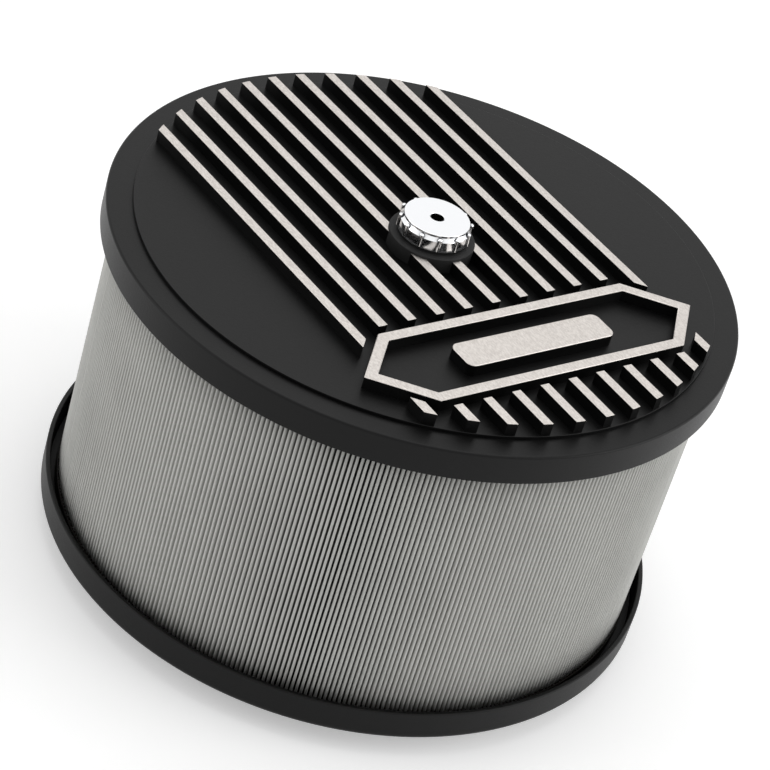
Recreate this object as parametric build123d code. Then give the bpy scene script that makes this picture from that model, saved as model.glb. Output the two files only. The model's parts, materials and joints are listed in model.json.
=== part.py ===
from build123d import *
import os
from math import cos, radians, sin, sqrt

# Round air cleaner that sits on a carburettor's neck, in millimetres.
# Z points up along the stud. The origin is on that axis, at the underside of the neck gasket.
# The fins run along Y, and the plain badge plate is on the -Y side.

# Neck of the carburettor, 5 1/8 inches across, and its gasket
neck_radius = 65.1
gasket_clearance = 0.4
gasket_width = 6.0
gasket_thickness = 1.6

# Filter element: a ring of folded paper with a moulded sealing ring on each end
element_radius = 112.5
element_width = 24.2
pleat_height = 115.0
pleat_count = 400
pleat_wall_run = 7.0
pleat_inset = 0.5
bottom_ring_height = 5.0
top_ring_height = 3.6
ring_edge_round = 0.8
bead_inset = 11.3
bead_width = 8.2
bead_rise = 0.9
bead_groove_width = 0.7
bead_groove_depth = 0.8
ring_inner_chamfer = 2.4

# Base pan, pressed from one sheet with an upright rim and a turned-down throat
pan_clearance = 3.0
pan_sheet = 2.0
pan_rim_height = 12.5
pan_rim_edge = 0.6
pan_inner_bend = 0.6
throat_drop = 6.6
throat_bend = 5.0

# Lid, one casting with a raised face, fins, a badge plate and a centre boss
lid_clearance = 2.0
lid_rim_height = 11.4
lid_rim_wall = 3.0
lid_plate = 3.5
lid_edge_round = 0.9
lid_inner_round = 1.0
lid_ledge = 9.6
raised_face_height = 1.2
locating_clearance = 1.0
locating_ring_width = 3.0
locating_ring_depth = 3.0
boss_radius = 16.0
boss_height = 5.7
boss_edge_round = 0.3

# Fins, milled flat on top
fin_count = 11
fin_pitch = 12.57
fin_width = 3.7
fin_height = 4.7
fin_inset = 0.8
fin_chamfer = 0.3

# Plain badge that stands between the cut fins: a long six-sided frame round a blank bar.
# Its front side is set back from the raised face's edge, and its corners keep a margin to that edge.
badge_setback = 25.9
badge_margin = 9.2
badge_depth = 38.0
badge_point = 19.0
badge_frame_width = 4.2
badge_gap = 3.4
badge_bar_length = 66.0
badge_bar_depth = 13.0
badge_bar_round = 3.0

# Stud of 1/4 inch with 20 threads per inch, its washer, and the ribbed knob that screws onto it
stud_radius = 3.175
stud_clearance = 0.4
thread_bore_radius = 2.55
washer_radius = 12.2
washer_thickness = 1.0
knob_face_radius = 12.2
knob_height = 6.6
knob_face_edge = 0.9
knob_face_round = 0.3
knob_shoulder = 1.4
knob_shoulder_run = 0.95
knob_foot_round = 0.25
knob_bore_chamfer = 0.3
rib_count = 12
rib_radius = 0.85
rib_depth = 0.75
rib_drop = 0.8
rib_top_round = 0.75

# Radii that follow from the sizes above
element_inner_radius = element_radius - element_width
bead_radius = element_radius - bead_inset
pan_radius = element_radius + pan_clearance + pan_sheet
lid_radius = element_radius + lid_clearance + lid_rim_wall
raised_face_radius = lid_radius - lid_ledge
stud_hole_radius = stud_radius + stud_clearance
knob_wall_radius = knob_face_radius + knob_shoulder_run

# Heights of the stack, from the surface that the gasket stands on
pan_underside = gasket_thickness + throat_drop
pan_floor = pan_underside + pan_sheet
pan_top = pan_underside + pan_rim_height
pleat_bottom = pan_floor + bead_rise + bottom_ring_height
pleat_top = pleat_bottom + pleat_height
lid_underside = pleat_top + top_ring_height + bead_rise
lid_top = lid_underside + lid_plate
lid_bottom = lid_top - lid_rim_height
raised_face_top = lid_top + raised_face_height
boss_top = raised_face_top + boss_height
knob_bottom = boss_top + washer_thickness


def turned(outline, rounds):
    """Turn an outline of (radius, height) points about Z, with rounds as {corner: radius}."""
    face = make_face(Polyline(*outline, close=True))
    for corner, radius in rounds.items():
        at_corner = face.vertices().sort_by_distance((*outline[corner], 0))[0]
        face = fillet(at_corner, radius)
    return revolve(Plane.XZ * face, Axis.Z)


def base_pan():
    """Shallow dish whose throat is turned down over the carburettor's neck."""
    outline = [
        (neck_radius, gasket_thickness),
        (neck_radius + pan_sheet, gasket_thickness),
        (neck_radius + pan_sheet, pan_underside),
        (pan_radius, pan_underside),
        (pan_radius, pan_top),
        (pan_radius - pan_sheet, pan_top),
        (pan_radius - pan_sheet, pan_floor),
        (neck_radius, pan_floor),
    ]
    rounds = {
        2: throat_bend - pan_sheet,
        3: pan_inner_bend + pan_sheet,
        4: pan_rim_edge,
        5: pan_rim_edge,
        6: pan_inner_bend,
        7: throat_bend,
    }
    return turned(outline, rounds)


def neck_gasket():
    """Flat ring between the throat's edge and the shoulder of the neck."""
    inner = neck_radius + gasket_clearance
    ring = Circle(inner + gasket_width) - Circle(inner)
    return extrude(ring, gasket_thickness)


def sealing_ring(pleat_end, up, height):
    """Moulded ring on one end of the paper, with a raised bead between two grooves."""
    bead_inner = bead_radius - bead_width / 2
    bead_outer = bead_radius + bead_width / 2
    groove_floor = height - bead_groove_depth
    bead_face = height + bead_rise
    section = [
        (element_inner_radius, 0),
        (element_inner_radius, height - ring_inner_chamfer),
        (element_inner_radius + ring_inner_chamfer, height),
        (bead_inner - bead_groove_width, height),
        (bead_inner - bead_groove_width, groove_floor),
        (bead_inner, groove_floor),
        (bead_inner, bead_face),
        (bead_outer, bead_face),
        (bead_outer, groove_floor),
        (bead_outer + bead_groove_width, groove_floor),
        (bead_outer + bead_groove_width, height),
        (element_radius, height),
        (element_radius, 0),
    ]
    outline = [(radius, pleat_end + up * rise) for radius, rise in section]
    rounds = {6: bead_rise / 2, 7: bead_rise / 2, 11: ring_edge_round}
    return turned(outline, rounds)


def pleat_line(crest_radius, root_radius):
    """Closed zigzag with one crest and one root for each pleat."""
    half_turn = 180 / pleat_count
    points = []
    for pleat in range(pleat_count):
        crest = radians(2 * pleat * half_turn)
        root = radians((2 * pleat + 1) * half_turn)
        points.append((crest_radius * cos(crest), crest_radius * sin(crest)))
        points.append((root_radius * cos(root), root_radius * sin(root)))
    return Wire.make_polygon([Vector(*point) for point in points], close=True)


def pleated_paper():
    """Folded paper wall, standing between the two sealing rings."""
    crest = element_radius - pleat_inset
    root = element_inner_radius + pleat_inset
    outside = pleat_line(crest, root + pleat_wall_run)
    inside = pleat_line(crest - pleat_wall_run, root)
    section = Pos(0, 0, pleat_bottom) * Face(outside, [inside])
    return extrude(section, pleat_height, dir=(0, 0, 1))


def badge_outline():
    """Long six-sided shape across the fins, centred on its own middle."""
    front = raised_face_radius - badge_setback
    shoulder = sqrt((raised_face_radius - badge_margin) ** 2 - front**2)
    tip = shoulder + badge_point
    side = badge_depth / 2
    half = [(tip, 0), (shoulder, side), (-shoulder, side)]
    corners = half + [(-x, -y) for x, y in half]
    return make_face(Polyline(*corners, close=True))


def raised_pattern():
    """Plan of everything that stands up from the lid's face: fins, badge frame and bar."""
    first = -(fin_count - 1) / 2 * fin_pitch
    fins = Sketch()
    for fin in range(fin_count):
        fins += Pos(first + fin * fin_pitch, 0) * Rectangle(fin_width, 2 * raised_face_radius)
    fins &= Circle(raised_face_radius - fin_inset)
    fins -= Circle(boss_radius)
    middle = Pos(0, badge_setback + badge_depth / 2 - raised_face_radius)
    badge = middle * badge_outline()
    fins -= offset(badge, badge_gap, kind=Kind.INTERSECTION)
    frame = badge - offset(badge, -badge_frame_width, kind=Kind.INTERSECTION)
    bar = middle * RectangleRounded(badge_bar_length, badge_bar_depth, badge_bar_round)
    return fins + frame + bar


def lid():
    """Casting with a deep rim, a ring below that centres the element, and milled fins on top."""
    locating_outer = element_inner_radius - locating_clearance
    locating_inner = locating_outer - locating_ring_width
    locating_bottom = lid_underside - locating_ring_depth
    outline = [
        (stud_hole_radius, lid_underside),
        (locating_inner, lid_underside),
        (locating_inner, locating_bottom),
        (locating_outer, locating_bottom),
        (locating_outer, lid_underside),
        (lid_radius - lid_rim_wall, lid_underside),
        (lid_radius - lid_rim_wall, lid_bottom),
        (lid_radius, lid_bottom),
        (lid_radius, lid_top),
        (raised_face_radius, lid_top),
        (raised_face_radius, raised_face_top),
        (boss_radius, raised_face_top),
        (boss_radius, boss_top),
        (stud_hole_radius, boss_top),
    ]
    rounds = {5: lid_inner_round, 8: lid_edge_round, 12: boss_edge_round}
    body = turned(outline, rounds)
    pattern = extrude(Pos(0, 0, raised_face_top) * raised_pattern(), fin_height, dir=(0, 0, 1))
    milled_edges = pattern.edges().group_by(Axis.Z)[-1]
    return body + chamfer(milled_edges, fin_chamfer)


def knob_washer():
    """Soft washer that keeps water out of the stud hole."""
    ring = Circle(washer_radius) - Circle(stud_hole_radius)
    return extrude(Pos(0, 0, boss_top) * ring, washer_thickness)


def knob():
    """Turned knob with a flat face and a sloping shoulder, and upright round ribs to grip it by."""
    top = knob_bottom + knob_height
    shoulder_top = top - knob_face_edge
    outline = [
        (thread_bore_radius, knob_bottom),
        (knob_wall_radius, knob_bottom),
        (knob_wall_radius, shoulder_top - knob_shoulder),
        (knob_face_radius, shoulder_top),
        (knob_face_radius, top),
        (thread_bore_radius + knob_bore_chamfer, top),
        (thread_bore_radius, top - knob_bore_chamfer),
    ]
    body = turned(outline, {1: knob_foot_round, 4: knob_face_round})
    foot = knob_bottom + 2 * knob_foot_round
    rib = Cylinder(rib_radius, top - rib_drop - foot, align=(Align.CENTER, Align.CENTER, Align.MIN))
    rib = fillet(rib.edges().sort_by(Axis.Z)[-1], rib_top_round)
    rib = Pos(knob_wall_radius + rib_depth - rib_radius, 0, foot) * rib
    for step in range(rib_count):
        body += Rot(0, 0, step * 360 / rib_count) * rib
    return body


os.makedirs("parts", exist_ok=True)
nodes = {
    "base_pan": base_pan(),
    "neck_gasket": neck_gasket(),
    "element_bottom_ring": sealing_ring(pleat_bottom, -1, bottom_ring_height),
    "pleated_paper": pleated_paper(),
    "element_top_ring": sealing_ring(pleat_top, 1, top_ring_height),
    "lid": lid(),
    "knob_washer": knob_washer(),
    "knob": knob(),
}
for name, shape in nodes.items():
    export_step(shape, f"parts/{name}.step")
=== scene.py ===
# %% [markdown]
# # A round carburettor air cleaner
#
# This lesson dresses a packed mechanical model: a black cast lid with bright fins, a ring of pleated paper
# between two moulded rings, a pressed pan and a chrome nut. The imported model is the frame. It already has
# every piece at its true place and size, so nothing here is placed by eye. We start from an empty scene and
# keep the frame's own box.

# %% Load the frame
import json
from math import cos, pi, radians, sin, sqrt, tan, tau

import bmesh
import bpy
from mathutils import Matrix, Vector

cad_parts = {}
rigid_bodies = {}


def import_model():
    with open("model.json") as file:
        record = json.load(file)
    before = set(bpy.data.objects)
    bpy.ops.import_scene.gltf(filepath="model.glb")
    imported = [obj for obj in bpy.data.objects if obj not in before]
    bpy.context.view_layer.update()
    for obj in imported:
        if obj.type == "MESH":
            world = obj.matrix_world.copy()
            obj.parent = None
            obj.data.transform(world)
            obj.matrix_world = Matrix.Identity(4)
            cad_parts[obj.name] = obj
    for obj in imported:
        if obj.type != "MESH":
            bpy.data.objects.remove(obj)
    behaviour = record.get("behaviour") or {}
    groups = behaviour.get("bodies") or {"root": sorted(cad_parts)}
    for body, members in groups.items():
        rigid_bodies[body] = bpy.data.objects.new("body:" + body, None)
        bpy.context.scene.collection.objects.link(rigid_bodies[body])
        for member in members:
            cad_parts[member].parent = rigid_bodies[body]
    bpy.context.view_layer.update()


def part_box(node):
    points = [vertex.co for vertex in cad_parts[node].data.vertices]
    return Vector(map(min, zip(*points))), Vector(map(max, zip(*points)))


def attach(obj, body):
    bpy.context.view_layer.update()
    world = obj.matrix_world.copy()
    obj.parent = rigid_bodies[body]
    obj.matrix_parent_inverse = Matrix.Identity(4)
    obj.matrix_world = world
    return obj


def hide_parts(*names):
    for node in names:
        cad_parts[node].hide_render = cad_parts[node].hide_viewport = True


for leftover in list(bpy.data.objects):
    bpy.data.objects.remove(leftover)
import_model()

# %% [markdown]
# The frame gives each node's lowest and highest corner in metres. Most sizes come straight from there: the
# lid's radius is its highest X, and the stack's heights are the Z of each box. The rest are measures of the
# object in millimetres, such as where a bead sits on its ring. A hair, 0.1 mm, is a step too small to see,
# which keeps two faces apart or tells one from the other.

# %% Sizes from the frame and from the object
mm = 0.001
hair = 0.1 * mm


def top(node):
    """Height of the node's highest point."""
    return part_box(node)[1].z


def bottom(node):
    """Height of the node's lowest point."""
    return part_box(node)[0].z


def reach(node):
    """Radius of a round node."""
    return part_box(node)[1].x


ring_inner = 88.3 * mm
throat = 65.1 * mm
stud_hole = 3.575 * mm
raised_radius = 107.9 * mm
boss_radius = 16.0 * mm
boss_height = 5.7 * mm
raised_height = 1.2 * mm
lid_plate = 3.5 * mm
raised_top = top("lid") - boss_height
ledge_top = raised_top - raised_height
lid_under = ledge_top - lid_plate
print(f"lid {2 * reach('lid') / mm:.0f} mm across, whole stack {top('knob') / mm:.1f} mm high")

# %% [markdown]
# Every tree below, for a material or for geometry, is built with one small function. It adds a node, sets its
# properties, and fills each input with a number, or links it when it is given another node or a socket.
#
# Most inputs go by name. Where a node has several of one name, they go by number: Map Range takes its value
# at 0, the range that this comes from at 1 and 2, and the range that it goes to at 3 and 4. Mix takes two
# numbers at 2 and 3, two vectors at 4 and 5, and two colours at 6 and 7, and gives them out mixed at 0, 1
# and 2. Nearly all values of a noise lie between 0.3 and 0.7, so that is the range that most are read over.

# %% Colours and nodes
noise_span = {1: 0.3, 2: 0.7}


def colour(code):
    """Linear RGBA for an sRGB hex value."""
    parts = [int(code[i:i + 2], 16) / 255 for i in (0, 2, 4)]
    linear = [c / 12.92 if c <= 0.04045 else ((c + 0.055) / 1.055) ** 2.4 for c in parts]
    return (*linear, 1.0)


def add(tree, kind, values=None, **settings):
    """Add one node with its settings, and set or link its inputs."""
    node = tree.nodes.new(kind)
    for key, value in settings.items():
        setattr(node, key, value)
    for key, value in (values or {}).items():
        if isinstance(value, bpy.types.Node):
            value = value.outputs[0]
        if isinstance(value, bpy.types.NodeSocket):
            tree.links.new(value, node.inputs[key])
        else:
            node.inputs[key].default_value = value
    return node


def finish(name, **constants):
    """Material with one Principled shader. Underscores in a constant's name stand for spaces."""
    material = bpy.data.materials.new(name)
    material.use_nodes = True
    shader = material.node_tree.nodes["Principled BSDF"]
    for key, value in constants.items():
        shader.inputs[key.replace("_", " ")].default_value = value
    print("finish:", name)
    return material, material.node_tree, shader


# %% [markdown]
# The lid is an aluminium casting in satin black powder coat. Powder melts into a skin with a faint orange
# peel, about a millimetre from bump to bump, and a finer grain on top. Its colour is nearly pure black:
# the dark grey that the eye sees is the white room, reflected at two or three percent, a little less than on
# smooth paint, because the grain shades itself. That is why the floor between the fins looks black: there it
# reflects only the next fin. The boss under the nut keeps its coarse casting skin below the coat. It scatters
# more light, so its side is a little greyer than a fin's.

# %% Powder coat
peel_spacing = 1.11 * mm
# Real grain is about 0.1 mm. It is drawn at 0.5 mm, so that it shows in a picture of the whole lid.
coat_grain = 0.5 * mm


def powder_coat(name, shade, roughness, peel_height):
    """Satin black powder coat with orange peel and fine grain."""
    material, tree, shader = finish(name, Base_Color=colour(shade), IOR=1.28)
    place = add(tree, "ShaderNodeTexCoord").outputs["Object"]
    peel = add(tree, "ShaderNodeTexNoise", {"Vector": place, "Scale": 1 / peel_spacing, "Detail": 1.0})
    grain = add(tree, "ShaderNodeTexNoise", {"Vector": place, "Scale": 1 / coat_grain, "Detail": 2.0})
    both = add(tree, "ShaderNodeMath", {0: peel, 1: grain}, operation="ADD")
    bump = add(tree, "ShaderNodeBump", {"Height": both, "Strength": 0.35, "Distance": peel_height})
    tree.links.new(bump.outputs["Normal"], shader.inputs["Normal"])
    spread = {3: roughness - 0.04, 4: roughness + 0.04}
    gloss = add(tree, "ShaderNodeMapRange", {0: grain, **noise_span, **spread})
    tree.links.new(gloss.outputs[0], shader.inputs["Roughness"])
    return material


lid_coat = powder_coat("satin_black_powder_coat", "050505", 0.4, 0.05 * mm)
coarse_coat = powder_coat("coarse_black_powder_coat", "272727", 0.65, 0.1 * mm)
pan_coat = powder_coat("black_pan_coat", "040404", 0.45, 0.06 * mm)

# %% [markdown]
# After coating, the fins and the badge are milled level, which cuts through the black to bare metal. Milled
# cast aluminium is a warm light grey. The cutter leaves shallow marks a few tenths of a millimetre apart,
# which spread each highlight, so the surface looks nearly matte from a step away.

# %% Milled aluminium
# Real marks are finer. These are drawn at about 0.5 mm, so that they show in a picture of the whole lid.
mark_spacing = 0.476 * mm


def milled_aluminium():
    """Bare cast aluminium, flat from the cutter."""
    material, tree, shader = finish("milled_cast_aluminium", Metallic=1.0)
    place = add(tree, "ShaderNodeTexCoord").outputs["Object"]
    along_fins = add(tree, "ShaderNodeMapping", {"Vector": place, "Scale": (1.0, 0.35, 1.0)})
    noise = {"Vector": along_fins, "Scale": 1 / mark_spacing, "Detail": 3.0, "Roughness": 0.7}
    marks = add(tree, "ShaderNodeTexNoise", noise)
    share = add(tree, "ShaderNodeMapRange", {0: marks, 1: 0.34, 2: 0.66})
    metal = {"Factor": share, 6: colour("bab4af"), 7: colour("d6d1cc")}
    tone = add(tree, "ShaderNodeMix", metal, data_type="RGBA")
    tree.links.new(tone.outputs[2], shader.inputs["Base Color"])
    gloss = add(tree, "ShaderNodeMapRange", {0: marks, **noise_span, 3: 0.38, 4: 0.52})
    tree.links.new(gloss.outputs[0], shader.inputs["Roughness"])
    bump = add(tree, "ShaderNodeBump", {"Height": marks, "Strength": 0.25, "Distance": 0.02 * mm})
    tree.links.new(bump.outputs["Normal"], shader.inputs["Normal"])
    return material


milled = milled_aluminium()

# %% [markdown]
# Filter paper is resin-treated cellulose, matte and slightly fibrous. Its light grey varies a little from
# fold to fold and holds short fibres about half a millimetre long. Hardly any light gets deep between the
# folds. In a picture of the whole ring a gap is only two pixels wide, and the blur of a pixel fills it with
# grey, so the paper is drawn darker from about a millimetre away from its folds.

# %% Filter paper
paper_crest = reach("pleated_paper") - hair
paper_root = ring_inner + 1.0 * mm
fibre_length = 0.556 * mm
patch_size = 22.2 * mm
lit_depth = 0.8 * mm
dark_depth = 2.5 * mm
deep_shade = 0.35


def filter_paper():
    """Matte grey cellulose with short fibres, darker between the folds."""
    material, tree, shader = finish("resin_treated_filter_paper", IOR=1.4, Roughness=0.85)
    place = add(tree, "ShaderNodeTexCoord").outputs["Object"]
    fibres = add(tree, "ShaderNodeTexNoise", {"Vector": place, "Scale": 1 / fibre_length, "Detail": 3.0})
    patches = add(tree, "ShaderNodeTexNoise", {"Vector": place, "Scale": 1 / patch_size, "Detail": 1.0})
    cellulose = {"Factor": fibres, 6: colour("c1c1bd"), 7: colour("d4d4d0")}
    tone = add(tree, "ShaderNodeMix", cellulose, data_type="RGBA")
    shade = add(tree, "ShaderNodeMapRange", {0: patches, **noise_span, 3: 0.94, 4: 1.0})
    level_place = add(tree, "ShaderNodeVectorMath", {0: place, 1: (1.0, 1.0, 0.0)}, operation="MULTIPLY")
    radius = add(tree, "ShaderNodeVectorMath", {0: level_place}, operation="LENGTH").outputs["Value"]
    middle = (paper_crest + paper_root) / 2
    past_middle = add(tree, "ShaderNodeMath", {0: radius, 1: middle}, operation="SUBTRACT")
    off_middle = add(tree, "ShaderNodeMath", {0: past_middle}, operation="ABSOLUTE")
    half = (paper_crest - paper_root) / 2
    fading = {0: off_middle, 1: half - dark_depth, 2: half - lit_depth, 3: deep_shade, 4: 1.0}
    near_fold = add(tree, "ShaderNodeMapRange", fading)
    shaded = add(tree, "ShaderNodeMath", {0: shade, 1: near_fold}, operation="MULTIPLY")
    both = {"Factor": 1.0, 6: tone.outputs[2], 7: shaded}
    mixed = add(tree, "ShaderNodeMix", both, data_type="RGBA", blend_type="MULTIPLY")
    tree.links.new(mixed.outputs[2], shader.inputs["Base Color"])
    bump = add(tree, "ShaderNodeBump", {"Height": fibres, "Strength": 0.4, "Distance": 0.04 * mm})
    tree.links.new(bump.outputs["Normal"], shader.inputs["Normal"])
    return material


paper = filter_paper()

# %% [markdown]
# The rings on the paper's ends are plastisol, poured soft and cured in a mould: a warm black rubbery plastic
# with a finely pitted skin. The pits swallow most of what would be reflected, so its IOR is set lower than
# that of a smooth plastic. The two gaskets are plain neoprene, which is greyer and duller. Real pits are far
# finer than half a millimetre, and are drawn as coarse as that to show at all.

# %% Plastisol and neoprene
def rubber(name, shade, ior, roughness, grain_size):
    """Dull black rubber with a fine moulded grain."""
    material, tree, shader = finish(name, Base_Color=colour(shade), IOR=ior)
    place = add(tree, "ShaderNodeTexCoord").outputs["Object"]
    grain = add(tree, "ShaderNodeTexNoise", {"Vector": place, "Scale": 1 / grain_size, "Detail": 2.0})
    spread = {3: roughness - 0.06, 4: roughness + 0.06}
    gloss = add(tree, "ShaderNodeMapRange", {0: grain, **noise_span, **spread})
    tree.links.new(gloss.outputs[0], shader.inputs["Roughness"])
    bump = add(tree, "ShaderNodeBump", {"Height": grain, "Strength": 0.3, "Distance": 0.05 * mm})
    tree.links.new(bump.outputs["Normal"], shader.inputs["Normal"])
    return material


plastisol = rubber("moulded_plastisol", "100e0a", 1.22, 0.55, 0.714 * mm)
neoprene = rubber("neoprene_sheet", "161616", 1.45, 0.75, 0.455 * mm)

# %% [markdown]
# The nut is brass or steel under bright chrome. Chrome has no colour of its own, only a faint blue-grey loss
# in each reflection, so what it shows is the room: white where it faces up, black where it faces the lid.
# The inside corners beside the ribs, under the face and at the foot are painted dark grey as painted shade,
# where Ambient Occlusion finds them from the shape itself. A little roughness, uneven like polishing, softens
# the reflections, so that the chrome doesn't look like a computed mirror.

# %% Chrome
corner_reach = 1.5 * mm
polish_spacing = 2.0 * mm


def chrome_plate():
    """Bright decorative chrome, polished before plating, with painted shade in its inside corners."""
    material, tree, shader = finish("decorative_chrome_plate", Metallic=1.0)
    # Painted shade: Ambient Occlusion draws the chrome dark grey in inside corners, beside the ribs, under
    # the face and at the foot.
    openness = add(tree, "ShaderNodeAmbientOcclusion", {"Distance": corner_reach}, samples=12)
    unshaded_share = add(tree, "ShaderNodeMapRange", {0: openness.outputs["AO"], 1: 0.55, 2: 0.96})
    plate = {"Factor": unshaded_share, 6: colour("2c2d2f"), 7: colour("f8f9fb")}
    tone = add(tree, "ShaderNodeMix", plate, data_type="RGBA")
    tree.links.new(tone.outputs[2], shader.inputs["Base Color"])
    place = add(tree, "ShaderNodeTexCoord").outputs["Object"]
    polish = add(tree, "ShaderNodeTexNoise", {"Vector": place, "Scale": 1 / polish_spacing, "Detail": 2.0})
    gloss = add(tree, "ShaderNodeMapRange", {0: polish, **noise_span, 3: 0.14, 4: 0.2})
    tree.links.new(gloss.outputs[0], shader.inputs["Roughness"])
    return material


chrome = chrome_plate()

# %% [markdown]
# Plating hardly reaches into a small threaded hole, so there the nut stays bare steel and dull. Its colour is
# painted nearly black, as painted shade for the deep hole.

# %% Bare steel
steel_noise_spacing = 0.667 * mm


def steel_in_painted_shade():
    """Unplated steel inside the thread, painted dark as the shade of the deep hole."""
    material, tree, shader = finish("bare_steel_painted_shade", Metallic=1.0)
    place = add(tree, "ShaderNodeTexCoord").outputs["Object"]
    steel_noise = add(tree, "ShaderNodeTexNoise", {"Vector": place, "Scale": 1 / steel_noise_spacing, "Detail": 2.0})
    # Painted shade: the steel is drawn nearly black, standing in for the deep hole's shade.
    steel = {"Factor": steel_noise, 6: colour("1c1b1a"), 7: colour("2e2c2a")}
    tone = add(tree, "ShaderNodeMix", steel, data_type="RGBA")
    tree.links.new(tone.outputs[2], shader.inputs["Base Color"])
    gloss = add(tree, "ShaderNodeMapRange", {0: steel_noise, **noise_span, 3: 0.45, 4: 0.6})
    tree.links.new(gloss.outputs[0], shader.inputs["Roughness"])
    return material


bare_steel = steel_in_painted_shade()

# %% [markdown]
# Most pieces are round: turned, pressed or moulded. They could be cylinders cut by other cylinders, but an
# outline turned about the axis is cleaner, gives every corner its true radius, and has no hidden waste.
# `rounded` puts an arc in place of a corner.

# %% Outlines with round corners
def rounded(corners, rounds, steps=6):
    """Closed outline of (radius, height) corners, with an arc in place of each corner named in rounds."""
    points = []
    for index, corner in enumerate(corners):
        here = Vector(corner)
        if index not in rounds:
            points.append(here)
            continue
        back = (Vector(corners[index - 1]) - here).normalized()
        ahead = (Vector(corners[(index + 1) % len(corners)]) - here).normalized()
        half = back.angle(ahead) / 2
        centre = here + (back + ahead).normalized() * rounds[index] / sin(half)
        leave = here + back * rounds[index] / tan(half) - centre
        arrive = here + ahead * rounds[index] / tan(half) - centre
        for step in range(steps + 1):
            points.append(centre + leave.slerp(arrive, step / steps) * rounds[index])
    return points


# %% [markdown]
# `turned` sweeps the closed outline round Z. Every mesh is then merged, its faces are pointed outwards, and
# it is shaded smoothly except across crisp edges. A piece's object stays at the origin, with its place in its
# mesh, as in the frame. `dress` hands it over: it rides on a body, and stands for a node of the frame.

# %% Turned pieces
crisp_angle = radians(32)


def outwards(mesh):
    """Merge doubles, point every face outwards, and shade smoothly between crisp edges."""
    shape = bmesh.new()
    shape.from_mesh(mesh)
    bmesh.ops.remove_doubles(shape, verts=shape.verts, dist=0.01 * hair)
    bmesh.ops.recalc_face_normals(shape, faces=shape.faces)
    shape.to_mesh(mesh)
    shape.free()
    mesh.shade_smooth()
    mesh.set_sharp_from_angle(angle=crisp_angle)


def mesh_piece(name, points, faces, materials):
    """Mesh object at the origin, with its place in its mesh."""
    mesh = bpy.data.meshes.new(name)
    mesh.from_pydata(points, [], faces)
    for material in materials:
        mesh.materials.append(material)
    outwards(mesh)
    piece = bpy.data.objects.new(name, mesh)
    bpy.context.collection.objects.link(piece)
    return piece


def turned(name, outline, material, columns=288):
    """Sweep a closed outline round the Z axis. A side of it that lies on the axis gets no faces."""
    count = len(outline)
    points = []
    for column in range(columns):
        angle = tau * column / columns
        points += [(r * cos(angle), r * sin(angle), z) for r, z in outline]
    faces = []
    for column in range(columns):
        here = column * count
        there = (column + 1) % columns * count
        for row in range(count):
            after = (row + 1) % count
            if max(outline[row][0], outline[after][0]) > 0:
                faces.append((here + row, there + row, there + after, here + after))
    piece = mesh_piece(name, points, faces, [material])
    # Large flat faces keep their own direction, so that only the rounded edges shade from one to the next.
    piece.modifiers.new("Flat faces first", "WEIGHTED_NORMAL").keep_sharp = True
    return piece


def dress(piece, body, node):
    """Let a piece stand for a CAD node and ride on its body."""
    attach(piece, body)
    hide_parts(node)
    print(f"{piece.name}: {len(piece.data.polygons)} faces on {body}")


# %% [markdown]
# The lid's body is one turned outline: a deep rim, a flat ledge, a raised round face, a centre boss for the
# nut, and below it the thin ring that centres the filter. The edges keep the small radii of a casting, which
# catch the light as thin lines. The boss is all that stands above the raised face, so its faces are found by
# their height and take the coarse coat.

# %% Lid body
locating_outer = ring_inner - 1.0 * mm
locating_inner = locating_outer - 3.0 * mm
locating_low = lid_under - 3.0 * mm
rim_inner = reach("lid") - 3.0 * mm
fine_edge = 0.3 * mm
lid_corners = [
    (stud_hole, lid_under),
    (locating_inner, lid_under),
    (locating_inner, locating_low),
    (locating_outer, locating_low),
    (locating_outer, lid_under),
    (rim_inner, lid_under),
    (rim_inner, bottom("lid")),
    (reach("lid"), bottom("lid")),
    (reach("lid"), ledge_top),
    (raised_radius, ledge_top),
    (raised_radius, raised_top),
    (boss_radius, raised_top),
    (boss_radius, top("lid")),
    (stud_hole, top("lid")),
]
lid_rounds = {
    2: fine_edge,
    3: fine_edge,
    5: 1.0 * mm,
    6: fine_edge,
    7: fine_edge,
    8: 0.9 * mm,
    10: 0.2 * mm,
    12: fine_edge,
    13: fine_edge,
}
lid_body = turned("lid_body", rounded(lid_corners, lid_rounds), lid_coat)
lid_body.data.materials.append(coarse_coat)
for face in lid_body.data.polygons:
    face.material_index = int(face.center.z > raised_top + hair)
dress(lid_body, "cover", "lid")

# %% [markdown]
# The badge is plain: a long six-sided frame round a blank bar. Both are upright walls with a flat top, so
# each is built from rings of points, a lower and an upper one.

# %% Outlines and walls of the badge
badge_side = 19.0 * mm
badge_point = 19.0 * mm
badge_front = raised_radius - 25.9 * mm
badge_middle = badge_side - badge_front
badge_shoulder = sqrt((raised_radius - 9.2 * mm) ** 2 - badge_front ** 2)


def six_sides(margin):
    """Corners of the badge's outline as (x, y), moved outwards by a margin."""
    slope = sqrt(badge_side ** 2 + badge_point ** 2)
    tip = badge_shoulder + badge_point + margin * slope / badge_side
    side = badge_side + margin
    shoulder = tip - side * badge_point / badge_side
    half = [(tip, 0.0), (shoulder, side), (-shoulder, side)]
    return [(x, badge_middle + y) for x, y in half + [(-x, -y) for x, y in half]]


def wall(outer, inner, low, high):
    """Points and faces of an upright wall between two outlines, or of a full prism where inner is empty."""
    count = len(outer)
    points = [(x, y, z) for outline in (outer, inner) for z in (low, high) for x, y in outline]
    faces = []
    for i in range(count):
        j = (i + 1) % count
        faces.append((i, j, count + j, count + i))
        if inner:
            faces.append((2 * count + i, 3 * count + i, 3 * count + j, 2 * count + j))
            faces.append((count + i, count + j, 3 * count + j, 3 * count + i))
            faces.append((i, 2 * count + i, 2 * count + j, j))
    if not inner:
        faces.append(tuple(range(count, 2 * count)))
        faces.append(tuple(reversed(range(count))))
    return points, faces


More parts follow.
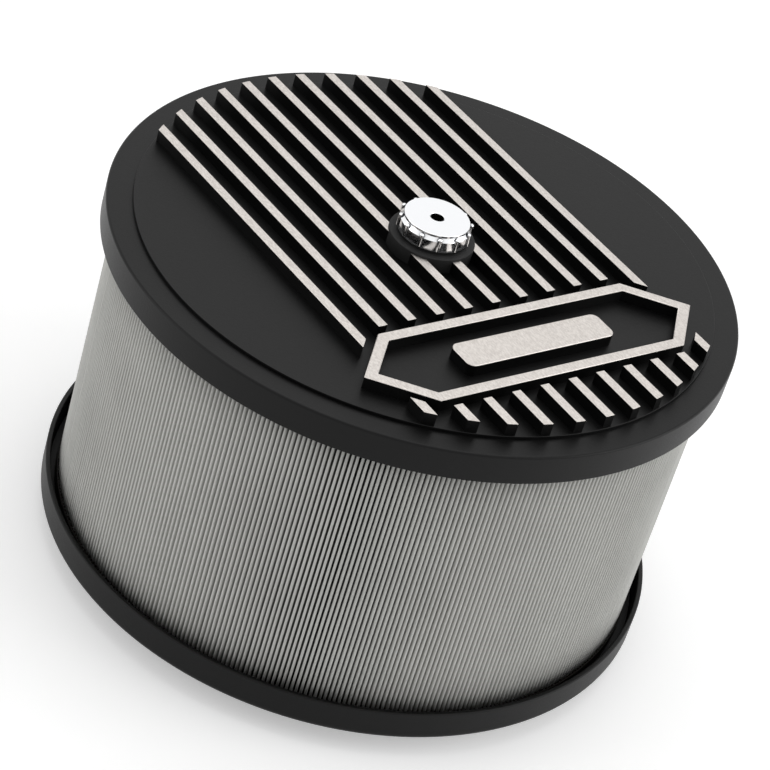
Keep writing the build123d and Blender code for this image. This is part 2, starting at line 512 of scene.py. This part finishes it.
# %% [markdown]
# `milled_tops` finds the flat top of a raised shape, gives it the bare metal, and marks its edges for a small
# bevel, because a cutter leaves a bright, slightly broken edge. The feet of all raised shapes reach a little
# way into the lid's face, so that no gap shows there.

# %% Badge frame and bar
fin_height = 4.7 * mm
fin_top = raised_top + fin_height
fin_foot = raised_top - 0.3 * mm
milled_edge = 0.3 * mm


def milled_tops(piece):
    """Bare metal on the flat tops, with a narrow bevel round them."""
    mesh = piece.data
    shape = bmesh.new()
    shape.from_mesh(mesh)
    weight = shape.edges.layers.float.new("bevel_weight_edge")
    for face in shape.faces:
        is_top = face.normal.z > 0.9 and face.calc_center_median().z > fin_top - milled_edge
        face.material_index = int(is_top)
    for edge in shape.edges:
        edge[weight] = float(len({face.material_index for face in edge.link_faces}) == 2)
    shape.to_mesh(mesh)
    shape.free()
    bevel = piece.modifiers.new("Milled edge", "BEVEL")
    bevel.limit_method = "WEIGHT"
    bevel.width = milled_edge
    bevel.segments = 2
    bevel.material = 1


frame_width = 4.2 * mm
frame_shape = wall(six_sides(0.0), six_sides(-frame_width), fin_foot, fin_top)
badge_frame = mesh_piece("badge_frame", *frame_shape, [lid_coat, milled])
bar_x = 33.0 * mm
bar_y = 6.5 * mm
bar_round = 3.0 * mm
bar_corners = [(bar_x, -bar_y), (bar_x, bar_y), (-bar_x, bar_y), (-bar_x, -bar_y)]
bar_outline = rounded(bar_corners, {i: bar_round for i in range(4)}, steps=8)
bar_outline = [(point.x, point.y + badge_middle) for point in bar_outline]
badge_bar = mesh_piece("badge_bar", *wall(bar_outline, [], fin_foot, fin_top), [lid_coat, milled])
for piece in (badge_frame, badge_bar):
    milled_tops(piece)
    dress(piece, "cover", "lid")

# %% [markdown]
# What repeats is made by Geometry Nodes. `shape_tree` starts a tree whose sizes are named inputs. `grow`
# closes it, runs it as a modifier with the real sizes, and keeps the result as a plain mesh, because a
# finished piece carries no live tree. A modifier's inputs go by the sockets' identifiers, not by name.

# %% Trees that make geometry
def shape_tree(name, sizes):
    """Geometry Nodes tree with one named input for each size. Gives the tree and its input node."""
    tree = bpy.data.node_groups.new(name, "GeometryNodeTree")
    kinds = {int: "NodeSocketInt", float: "NodeSocketFloat", bpy.types.Object: "NodeSocketObject"}
    for label, value in sizes.items():
        tree.interface.new_socket(label, in_out="INPUT", socket_type=kinds[type(value)])
    tree.interface.new_socket("Geometry", in_out="OUTPUT", socket_type="NodeSocketGeometry")
    return tree, add(tree, "NodeGroupInput").outputs


def grow(name, tree, sizes, last):
    """Close the tree at its last node, run it with these sizes, and keep the result as a plain mesh."""
    add(tree, "NodeGroupOutput", {"Geometry": last})
    piece = bpy.data.objects.new(name, bpy.data.meshes.new(name))
    bpy.context.collection.objects.link(piece)
    modifier = piece.modifiers.new("Shape", "NODES")
    modifier.node_group = tree
    for item in tree.interface.items_tree:
        if item.in_out == "INPUT":
            modifier[item.identifier] = sizes[item.name]
    scene_now = bpy.context.evaluated_depsgraph_get()
    mesh = bpy.data.meshes.new_from_object(piece.evaluated_get(scene_now))
    piece.modifiers.remove(modifier)
    piece.data = mesh
    return piece


# %% [markdown]
# Eleven fins repeat at one pitch, on a line of points with one long bar each. The tree takes their sizes as
# inputs, and the badge's clearance as an object: a prism a little larger than the badge. Every bar is made
# longer than the lid's face is wide, and trimmed in the next step.

# %% Fins, as untrimmed bars
badge_gap = 3.4 * mm
clearance_outline = six_sides(badge_gap)
clearance_prism = wall(clearance_outline, [], fin_foot - mm, fin_top + mm)
clearance_shape = mesh_piece("badge_clearance", *clearance_prism, [])
fin_sizes = {
    "Fins": 11,
    "Pitch": 12.57 * mm,
    "Width": 3.7 * mm,
    "Foot": fin_foot,
    "Top": fin_top,
    "End radius": raised_radius - 0.8 * mm,
    "Boss radius": boss_radius - hair,
    "Badge clearance": clearance_shape,
}
tree, size = shape_tree("milled_fins", fin_sizes)
gaps = add(tree, "ShaderNodeMath", {0: size["Fins"], 1: 1.0}, operation="SUBTRACT")
spread = add(tree, "ShaderNodeMath", {0: gaps, 1: size["Pitch"]}, operation="MULTIPLY")
first_x = add(tree, "ShaderNodeMath", {0: spread, 1: -0.5}, operation="MULTIPLY")
height = add(tree, "ShaderNodeMath", {0: size["Top"], 1: size["Foot"]}, operation="SUBTRACT")
half_height = add(tree, "ShaderNodeMath", {0: height, 1: 0.5}, operation="MULTIPLY")
middle_z = add(tree, "ShaderNodeMath", {0: size["Foot"], 1: half_height}, operation="ADD")
start = add(tree, "ShaderNodeCombineXYZ", {"X": first_x, "Z": middle_z})
step = add(tree, "ShaderNodeCombineXYZ", {"X": size["Pitch"]})
line = add(tree, "GeometryNodeMeshLine", {"Count": size["Fins"], "Start Location": start, "Offset": step})
overlong = add(tree, "ShaderNodeMath", {0: size["End radius"], 1: 2.2}, operation="MULTIPLY")
bar_size = add(tree, "ShaderNodeCombineXYZ", {"X": size["Width"], "Y": overlong, "Z": height})
bar = add(tree, "GeometryNodeMeshCube", {"Size": bar_size})
bars = add(tree, "GeometryNodeInstanceOnPoints", {"Points": line, "Instance": bar})
solid_bars = add(tree, "GeometryNodeRealizeInstances", {"Geometry": bars})
print(f"{fin_sizes['Fins']} bars, {fin_sizes['Pitch'] / mm:.2f} mm apart")

# %% [markdown]
# The bars are trimmed the way the pattern maker trims them, with two booleans: to a circle just inside the
# round face's edge, and clear of the badge and the boss. A fin's end is under 4 mm wide, so the large circle
# has 720 sides, about four for each end.

# %% Fins, trimmed and milled
tall = add(tree, "ShaderNodeMath", {0: height, 1: 3.0}, operation="MULTIPLY")
end_size = {"Vertices": 720, "Radius": size["End radius"], "Depth": tall}
end_disc = add(tree, "GeometryNodeMeshCylinder", end_size)
boss_size = {"Vertices": 96, "Radius": size["Boss radius"], "Depth": tall}
boss_disc = add(tree, "GeometryNodeMeshCylinder", boss_size)
lift = add(tree, "ShaderNodeCombineXYZ", {"Z": middle_z})
end_cutter = add(tree, "GeometryNodeTransform", {"Geometry": end_disc, "Translation": lift})
boss_cutter = add(tree, "GeometryNodeTransform", {"Geometry": boss_disc, "Translation": lift})
badge_cutter = add(tree, "GeometryNodeObjectInfo", {"Object": size["Badge clearance"]}).outputs["Geometry"]
trimmed = add(tree, "GeometryNodeMeshBoolean", operation="INTERSECT", solver="EXACT")
tree.links.new(solid_bars.outputs[0], trimmed.inputs["Mesh 2"])
tree.links.new(end_cutter.outputs[0], trimmed.inputs["Mesh 2"])
cleared = add(tree, "GeometryNodeMeshBoolean", {"Mesh 1": trimmed}, operation="DIFFERENCE", solver="EXACT")
tree.links.new(boss_cutter.outputs[0], cleared.inputs["Mesh 2"])
tree.links.new(badge_cutter, cleared.inputs["Mesh 2"])
coated = add(tree, "GeometryNodeSetMaterial", {"Geometry": cleared, "Material": lid_coat})
fins = grow("fins", tree, fin_sizes, coated)
bpy.data.objects.remove(clearance_shape)
fins.data.materials.clear()
for material in (lid_coat, milled):
    fins.data.materials.append(material)
outwards(fins.data)
milled_tops(fins)
dress(fins, "cover", "lid")

# %% [markdown]
# The filter's paper is one strip, folded 400 times and closed into a ring. Modelling each fold as a solid
# would waste faces, so the tree makes a flat grid and bends it. Each fold takes ten columns: five round its
# outer crest and five round its inner root, and the long straight walls between them need none.

# %% Pleated paper, as a flat sheet
paper_sizes = {
    "Pleats": 400,
    "Rows": 6,
    "Low": bottom("pleated_paper"),
    "High": top("pleated_paper"),
    "Crest radius": paper_crest,
    "Root radius": paper_root,
    "Crest fold": 0.35 * mm,
    "Root fold": 0.22 * mm,
    "Uneven": 0.07 * mm,
    "Seed": 7,
}
arc_columns = 5
pleat_columns = 2 * arc_columns
tree, size = shape_tree("pleated_paper", paper_sizes)
columns = add(tree, "ShaderNodeMath", {0: size["Pleats"], 1: pleat_columns}, operation="MULTIPLY")
edges = add(tree, "ShaderNodeMath", {0: columns, 1: 1.0}, operation="ADD")
flat_size = {"Size X": 1.0, "Size Y": 1.0, "Vertices X": edges, "Vertices Y": size["Rows"]}
sheet = add(tree, "GeometryNodeMeshGrid", flat_size)
where = add(tree, "ShaderNodeSeparateXYZ", {0: add(tree, "GeometryNodeInputPosition")})
along = add(tree, "ShaderNodeMath", {0: where.outputs["X"], 1: 0.5}, operation="ADD")
row_up = add(tree, "ShaderNodeMath", {0: where.outputs["Y"], 1: 0.5}, operation="ADD")
print(f"sheet of {paper_sizes['Pleats'] * pleat_columns} columns and {paper_sizes['Rows']} rows")

# %% [markdown]
# A point's column says which pleat it belongs to, whether it lies on the crest or on the root, and how far
# round that small arc it is: from minus a quarter turn to plus a quarter turn. The arc's sine moves the point
# sideways, and its cosine moves it away from the fold's own line.

# %% Pleated paper, crests and roots
column_exact = add(tree, "ShaderNodeMath", {0: along, 1: columns}, operation="MULTIPLY")
column = add(tree, "ShaderNodeMath", {0: column_exact}, operation="ROUND")
pleat_part = add(tree, "ShaderNodeMath", {0: column, 1: pleat_columns}, operation="DIVIDE")
pleat_open = add(tree, "ShaderNodeMath", {0: pleat_part}, operation="FLOOR")
pleat = add(tree, "ShaderNodeMath", {0: pleat_open, 1: size["Pleats"]}, operation="FLOORED_MODULO")
in_pleat = add(tree, "ShaderNodeMath", {0: column, 1: pleat_columns}, operation="FLOORED_MODULO")
at_root = add(tree, "ShaderNodeMath", {0: in_pleat, 1: arc_columns - 0.5}, operation="GREATER_THAN")
in_arc = add(tree, "ShaderNodeMath", {0: in_pleat, 1: arc_columns}, operation="FLOORED_MODULO")
turn = add(tree, "ShaderNodeMapRange", {0: in_arc, 1: 0.0, 2: arc_columns - 1, 3: -pi / 2, 4: pi / 2})
turn_sine = add(tree, "ShaderNodeMath", {0: turn}, operation="SINE")
turn_cosine = add(tree, "ShaderNodeMath", {0: turn}, operation="COSINE")
fold = add(tree, "ShaderNodeMix", {"Factor": at_root, 2: size["Crest fold"], 3: size["Root fold"]})
sideways = add(tree, "ShaderNodeMath", {0: turn_sine, 1: fold}, operation="MULTIPLY")
rise_part = add(tree, "ShaderNodeMath", {0: 1.0, 1: turn_cosine}, operation="SUBTRACT")
inset = add(tree, "ShaderNodeMath", {0: rise_part, 1: fold}, operation="MULTIPLY")
crest_line = add(tree, "ShaderNodeMath", {0: size["Crest radius"], 1: inset}, operation="SUBTRACT")
root_line = add(tree, "ShaderNodeMath", {0: size["Root radius"], 1: inset}, operation="ADD")
radius = add(tree, "ShaderNodeMix", {"Factor": at_root, 2: crest_line, 3: root_line})

# %% [markdown]
# Real pleats are glued by hand pressure and never stand quite even. A seeded random value moves each one a
# little sideways and inwards, by one amount at its lower end and by another at its upper end.

# %% Pleated paper, uneven by hand
wander = {"Min": (-1.0, -2.0, 0.0), "Max": (1.0, 0.0, 0.0), "ID": pleat}
low_wander = {**wander, "Seed": size["Seed"]}
low_shift = add(tree, "FunctionNodeRandomValue", low_wander, data_type="FLOAT_VECTOR")
high_wander = {**wander, "Seed": add(tree, "ShaderNodeMath", {0: size["Seed"], 1: 1.0}, operation="ADD")}
high_shift = add(tree, "FunctionNodeRandomValue", high_wander, data_type="FLOAT_VECTOR")
shift_unit = add(tree, "ShaderNodeMix", {"Factor": row_up, 4: low_shift, 5: high_shift}, data_type="VECTOR")
shift_scale = {0: shift_unit.outputs[1], "Scale": size["Uneven"]}
shift = add(tree, "ShaderNodeVectorMath", shift_scale, operation="SCALE")
shift_xy = add(tree, "ShaderNodeSeparateXYZ", {0: shift})
uneven_radius = add(tree, "ShaderNodeMath", {0: radius, 1: shift_xy.outputs["Y"]}, operation="ADD")
uneven_side = add(tree, "ShaderNodeMath", {0: sideways, 1: shift_xy.outputs["X"]}, operation="ADD")
lean = add(tree, "ShaderNodeMath", {0: uneven_side, 1: uneven_radius}, operation="DIVIDE")

# %% [markdown]
# The last step gives each point its angle round the ring, half a pleat further for a root, and sets it there.
# The sheet's two ends meet and are merged, and Solidify gives the paper its thickness.

# %% Pleated paper, bent into a ring
paper_thickness = 0.35 * mm
half_step = add(tree, "ShaderNodeMath", {0: at_root, 1: 0.5}, operation="MULTIPLY")
fold_count = add(tree, "ShaderNodeMath", {0: pleat, 1: half_step}, operation="ADD")
fold_share = add(tree, "ShaderNodeMath", {0: fold_count, 1: size["Pleats"]}, operation="DIVIDE")
fold_angle = add(tree, "ShaderNodeMath", {0: fold_share, 1: tau}, operation="MULTIPLY")
angle = add(tree, "ShaderNodeMath", {0: fold_angle, 1: lean}, operation="ADD")
level = add(tree, "ShaderNodeMapRange", {0: row_up, 1: 0.0, 2: 1.0, 3: size["Low"], 4: size["High"]})
angle_cosine = add(tree, "ShaderNodeMath", {0: angle}, operation="COSINE")
angle_sine = add(tree, "ShaderNodeMath", {0: angle}, operation="SINE")
x = add(tree, "ShaderNodeMath", {0: angle_cosine, 1: uneven_radius}, operation="MULTIPLY")
y = add(tree, "ShaderNodeMath", {0: angle_sine, 1: uneven_radius}, operation="MULTIPLY")
bent_place = add(tree, "ShaderNodeCombineXYZ", {"X": x, "Y": y, "Z": level})
bent = add(tree, "GeometryNodeSetPosition", {"Geometry": sheet, "Position": bent_place})
closed = add(tree, "GeometryNodeMergeByDistance", {"Geometry": bent, "Distance": 0.01 * hair})
finished = add(tree, "GeometryNodeSetMaterial", {"Geometry": closed, "Material": paper})
pleats = grow("pleated_paper_folds", tree, paper_sizes, finished)
outwards(pleats.data)
solidify = pleats.modifiers.new("Paper thickness", "SOLIDIFY")
solidify.thickness = paper_thickness
solidify.offset = 0.0
dress(pleats, "element", "pleated_paper")

# %% [markdown]
# A sealing ring is poured round each end of the paper. Its face has a raised bead between two narrow grooves,
# which the pan or the lid presses flat to close the gap to the air outside. Both rings share one outline,
# mirrored in height, and only their thickness differs.

# %% Sealing rings
bead_middle = 101.2 * mm
bead_inner = bead_middle - 4.1 * mm
bead_outer = bead_middle + 4.1 * mm
bead_rise = 0.9 * mm
groove_width = 0.7 * mm
groove_depth = 0.8 * mm
inner_chamfer = 2.4 * mm
ring_rounds = {
    1: 0.3 * mm,
    2: 0.3 * mm,
    3: 0.2 * mm,
    6: bead_rise / 2,
    7: bead_rise / 2,
    10: 0.2 * mm,
    11: 0.8 * mm,
    12: 0.2 * mm,
}


def sealing_ring(name, node, paper_end, bead):
    """Moulded ring from the paper's end to the top of its bead, upwards or downwards."""
    up = 1 if bead > paper_end else -1
    face = bead - up * bead_rise
    groove_floor = face - up * groove_depth
    corners = [
        (ring_inner, paper_end),
        (ring_inner, face - up * inner_chamfer),
        (ring_inner + inner_chamfer, face),
        (bead_inner - groove_width, face),
        (bead_inner - groove_width, groove_floor),
        (bead_inner, groove_floor),
        (bead_inner, bead),
        (bead_outer, bead),
        (bead_outer, groove_floor),
        (bead_outer + groove_width, groove_floor),
        (bead_outer + groove_width, face),
        (reach(node), face),
        (reach(node), paper_end),
    ]
    ring = turned(name, rounded(corners, ring_rounds, steps=5), plastisol)
    dress(ring, "element", node)


sealing_ring("top_sealing_ring", "element_top_ring", top("pleated_paper"), top("element_top_ring"))
bottom_bead = bottom("element_bottom_ring")
sealing_ring("bottom_sealing_ring", "element_bottom_ring", bottom("pleated_paper"), bottom_bead)

# %% [markdown]
# The pan is pressed from 2 mm sheet. The press leaves a generous bend at the rim and a larger one where the
# throat turns down, and the same thickness all the way, so inner and outer bends share a centre.

# %% Base pan
sheet_metal = 2.0 * mm
rim_bend = 0.6 * mm
rim_edge = 0.6 * mm
throat_bend = 5.0 * mm
throat_drop = 6.6 * mm
pan_low = bottom("base_pan")
pan_under = pan_low + throat_drop
pan_floor = pan_under + sheet_metal
pan_corners = [
    (throat, pan_low),
    (throat + sheet_metal, pan_low),
    (throat + sheet_metal, pan_under),
    (reach("base_pan"), pan_under),
    (reach("base_pan"), top("base_pan")),
    (reach("base_pan") - sheet_metal, top("base_pan")),
    (reach("base_pan") - sheet_metal, pan_floor),
    (throat, pan_floor),
]
pan_rounds = {
    0: fine_edge,
    1: fine_edge,
    2: throat_bend - sheet_metal,
    3: rim_bend + sheet_metal,
    4: rim_edge,
    5: rim_edge,
    6: rim_bend,
    7: throat_bend,
}
pan = turned("pressed_pan", rounded(pan_corners, pan_rounds, steps=8), pan_coat)
dress(pan, "base", "base_pan")

# %% [markdown]
# Two cut sheets of neoprene complete the seals: a flat ring between the pan and the carburettor's shoulder,
# and a small washer under the nut. Die-cut edges are square, so they get only a hair of rounding.

# %% Gasket and washer
cut_edge = 0.15 * mm
gasket_inner = throat + 0.4 * mm


def flat_ring(name, node, inner, body):
    """Die-cut ring of sheet rubber."""
    low, high, outer = bottom(node), top(node), reach(node)
    corners = [(inner, low), (outer, low), (outer, high), (inner, high)]
    ring = turned(name, rounded(corners, {i: cut_edge for i in range(4)}, steps=3), neoprene)
    dress(ring, body, node)


flat_ring("neck_seal", "neck_gasket", gasket_inner, "base")
flat_ring("nut_washer", "knob_washer", stud_hole, "washer")

# %% [markdown]
# The nut is turned too: a flat face, a narrow step under it, a sloping shoulder and an upright wall. The wall
# and the step mirror the black lid and the shoulder mirrors the white room, which is what makes chrome read
# as chrome. In the threaded hole the faces take the bare steel instead.

# %% Nut body
nut_low = bottom("knob")
nut_high = top("knob")
nut_face = 12.2 * mm
nut_wall = nut_face + 0.95 * mm
shoulder_top = nut_high - 0.9 * mm
shoulder_foot = shoulder_top - 1.4 * mm
nut_mouth = 2.55 * mm
thread_radius = 3.175 * mm
mouth_chamfer = 0.3 * mm
nut_corners = [
    (thread_radius, nut_low),
    (nut_wall, nut_low),
    (nut_wall, shoulder_foot),
    (nut_face, shoulder_top),
    (nut_face, nut_high),
    (nut_mouth + mouth_chamfer, nut_high),
    (nut_mouth, nut_high - mouth_chamfer),
    (thread_radius, nut_high - 3 * mouth_chamfer),
]
nut_rounds = {1: 0.25 * mm, 2: 0.1 * mm, 3: 0.05 * mm, 4: 0.15 * mm, 5: 0.1 * mm}
nut = turned("chrome_nut", rounded(nut_corners, nut_rounds), chrome)
nut.data.materials.append(bare_steel)
for face in nut.data.polygons:
    in_bore = face.center.xy.length < thread_radius and face.center.z < nut_high - 0.9 * mouth_chamfer
    face.material_index = int(in_bore)
dress(nut, "nut", "knob")

# %% [markdown]
# Twelve round ribs with rounded tops stand half sunk in the nut's wall, for the fingers. One is turned on the
# axis, and a small tree sets a copy on each point of a circle.

# %% Ribs of the nut
rib_radius = 0.85 * mm
rib_foot_round = 0.15 * mm
rib_top_round = 0.6 * mm
rib_low = nut_low + 0.5 * mm
rib_high = nut_high - 0.8 * mm
rib_corners = [(0.0, rib_low), (rib_radius, rib_low), (rib_radius, rib_high), (0.0, rib_high)]
rib_outline = rounded(rib_corners, {1: rib_foot_round, 2: rib_top_round})
one_rib = turned("one_rib", rib_outline, chrome, columns=32)
rib_sizes = {"Ribs": 12, "Ring radius": reach("knob") - rib_radius, "Rib": one_rib}
tree, size = shape_tree("nut_ribs", rib_sizes)
rib_ring = add(tree, "GeometryNodeMeshCircle", {"Vertices": size["Ribs"], "Radius": size["Ring radius"]})
rib_shape = add(tree, "GeometryNodeObjectInfo", {"Object": size["Rib"]}).outputs["Geometry"]
placed_ribs = add(tree, "GeometryNodeInstanceOnPoints", {"Points": rib_ring, "Instance": rib_shape})
all_ribs = add(tree, "GeometryNodeRealizeInstances", {"Geometry": placed_ribs})
plated = add(tree, "GeometryNodeSetMaterial", {"Geometry": all_ribs, "Material": chrome})
nut_ribs = grow("nut_ribs", tree, rib_sizes, plated)
bpy.data.objects.remove(one_rib)
outwards(nut_ribs.data)
dress(nut_ribs, "nut", "knob")

# %% [markdown]
# The nut's hole is threaded for a quarter-inch stud, 20 threads to the inch. A spiral curve with a small
# triangular section, run through Geometry Nodes, draws the thread without any cutting. It starts just inside
# the hole and ends where the mouth narrows.

# %% Thread in the nut
thread_pitch = 1.27 * mm
thread_low = nut_low + 0.5 * mm
thread_room = nut_high - nut_low - 1.4 * mm
thread_sizes = {
    "Turns": thread_room / thread_pitch,
    "Bore radius": thread_radius,
    "Height": thread_room,
    "Section": 0.5 * mm,
    "Start": thread_low,
}
tree, size = shape_tree("nut_thread", thread_sizes)
winding = {
    "Resolution": 36,
    "Rotations": size["Turns"],
    "Start Radius": size["Bore radius"],
    "End Radius": size["Bore radius"],
    "Height": size["Height"],
}
spiral = add(tree, "GeometryNodeCurveSpiral", winding)
section = add(tree, "GeometryNodeCurvePrimitiveCircle", {"Resolution": 3, "Radius": size["Section"]})
swept = add(tree, "GeometryNodeCurveToMesh", {"Curve": spiral, "Profile Curve": section, "Fill Caps": True})
start = add(tree, "ShaderNodeCombineXYZ", {"Z": size["Start"]})
placed = add(tree, "GeometryNodeTransform", {"Geometry": swept, "Translation": start})
painted_dark_thread = add(tree, "GeometryNodeSetMaterial", {"Geometry": placed, "Material": bare_steel})
thread = grow("nut_thread", tree, thread_sizes, painted_dark_thread)
outwards(thread.data)
dress(thread, "nut", "knob")

# %% [markdown]
# The stage is a pale floor. Its own colour is nearly white, and rays from the camera and from mirrors see a
# little more, so the background is white while the object's shadow stays. The world does the same: white to
# the eye and in reflections, softer as a light.

# %% Floor
def to_the_eye(tree):
    """One for rays from the camera, off mirrors and through glass, and zero for the light itself."""
    ray = add(tree, "ShaderNodeLightPath").outputs
    straight = {0: ray["Is Camera Ray"], 1: ray["Is Glossy Ray"]}
    mirrored = add(tree, "ShaderNodeMath", straight, operation="MAXIMUM")
    through = {0: mirrored, 1: ray["Is Transmission Ray"]}
    return add(tree, "ShaderNodeMath", through, operation="MAXIMUM")


extra_glow = 0.36
floor_material = bpy.data.materials.new("pale_floor")
floor_material.use_nodes = True
tree = floor_material.node_tree
tree.nodes.clear()
glow_strength = add(tree, "ShaderNodeMath", {0: to_the_eye(tree), 1: extra_glow}, operation="MULTIPLY")
glow = add(tree, "ShaderNodeEmission", {"Color": colour("ffffff"), "Strength": glow_strength})
matte = add(tree, "ShaderNodeBsdfDiffuse", {"Color": colour("f2f2f2")})
surface = add(tree, "ShaderNodeAddShader", {0: matte, 1: glow})
add(tree, "ShaderNodeOutputMaterial", {"Surface": surface})

floor_half = 3.0
floor_corners = [(-1, -1), (1, -1), (1, 1), (-1, 1)]
floor_points = [(x * floor_half, y * floor_half, 0) for x, y in floor_corners]
floor = mesh_piece("floor", floor_points, [(0, 1, 2, 3)], [floor_material])
print(f"floor: {2 * floor_half:.0f} m square")

# %% World
world = bpy.data.worlds.new("white_room")
bpy.context.scene.world = world
world.use_nodes = True
tree = world.node_tree
tree.nodes.clear()
strength = add(tree, "ShaderNodeMapRange", {0: to_the_eye(tree), 3: 0.5, 4: 1.0})
background = add(tree, "ShaderNodeBackground", {"Color": colour("ffffff"), "Strength": strength})
add(tree, "ShaderNodeOutputWorld", {"Surface": background})
print("world:", world.name)

# %% [markdown]
# The camera looks from the side of the badge, about 35 degrees down, and leans to one side, so the object
# stands at a slant in the picture. Its three angles are enough to work out where it looks and what is up. Its
# distance gives the photograph's gentle perspective, and the lens only frames.

# %% Camera
view_turn = radians(-45.23)
view_dip = radians(34.85)
view_lean = radians(17.36)
distance = 1.1
target = Vector((0, 0, top("knob") * 0.5))
level_ahead = Vector((-sin(view_turn), cos(view_turn), 0))
level_right = Vector((cos(view_turn), sin(view_turn), 0))
look = level_ahead * cos(view_dip) - Vector((0, 0, sin(view_dip)))
side = level_right * cos(view_lean) + level_right.cross(look) * sin(view_lean)
above = side.cross(look)
camera_data = bpy.data.cameras.new("camera")
camera_data.sensor_width = 36.0
camera_data.lens = 138.0
camera = bpy.data.objects.new("camera", camera_data)
axes = Matrix((side, above, -look)).transposed()
camera.matrix_world = Matrix.Translation(target - look * distance) @ axes.to_4x4()
bpy.context.collection.objects.link(camera)
bpy.context.scene.camera = camera
print(f"camera: {distance} m from the object's middle, with a {camera_data.lens:.0f} mm lens")

# %% [markdown]
# Three soft boxes light the object: a large one above, one at the camera's right and a weaker one at its
# left. The paper facing the camera then falls between the two sides and is a little darker, as round things
# are.

# %% Lights
def soft_box(name, place, size, watts):
    """Square area light that faces the object."""
    data = bpy.data.lights.new(name, "AREA")
    data.shape = "SQUARE"
    data.size = size
    data.energy = watts
    light = bpy.data.objects.new(name, data)
    direction = target - place
    light.matrix_world = Matrix.Translation(place) @ direction.to_track_quat("-Z", "Y").to_matrix().to_4x4()
    light.visible_camera = False
    bpy.context.collection.objects.link(light)
    print(f"{name}: {size} m wide, {watts:.0f} W")


level_side = Vector((side.x, side.y, 0)).normalized()
soft_box("box_above", level_ahead * 0.4 + Vector((0, 0, 1.7)), 1.6, 8.0)
soft_box("box_right", level_side * 1.5 - level_ahead * 0.3 + Vector((0, 0, 0.7)), 1.1, 8.0)
soft_box("box_left", level_side * -1.6 - level_ahead * 0.1 + Vector((0, 0, 0.6)), 1.1, 5.0)

bpy.context.scene.view_settings.view_transform = "Standard"
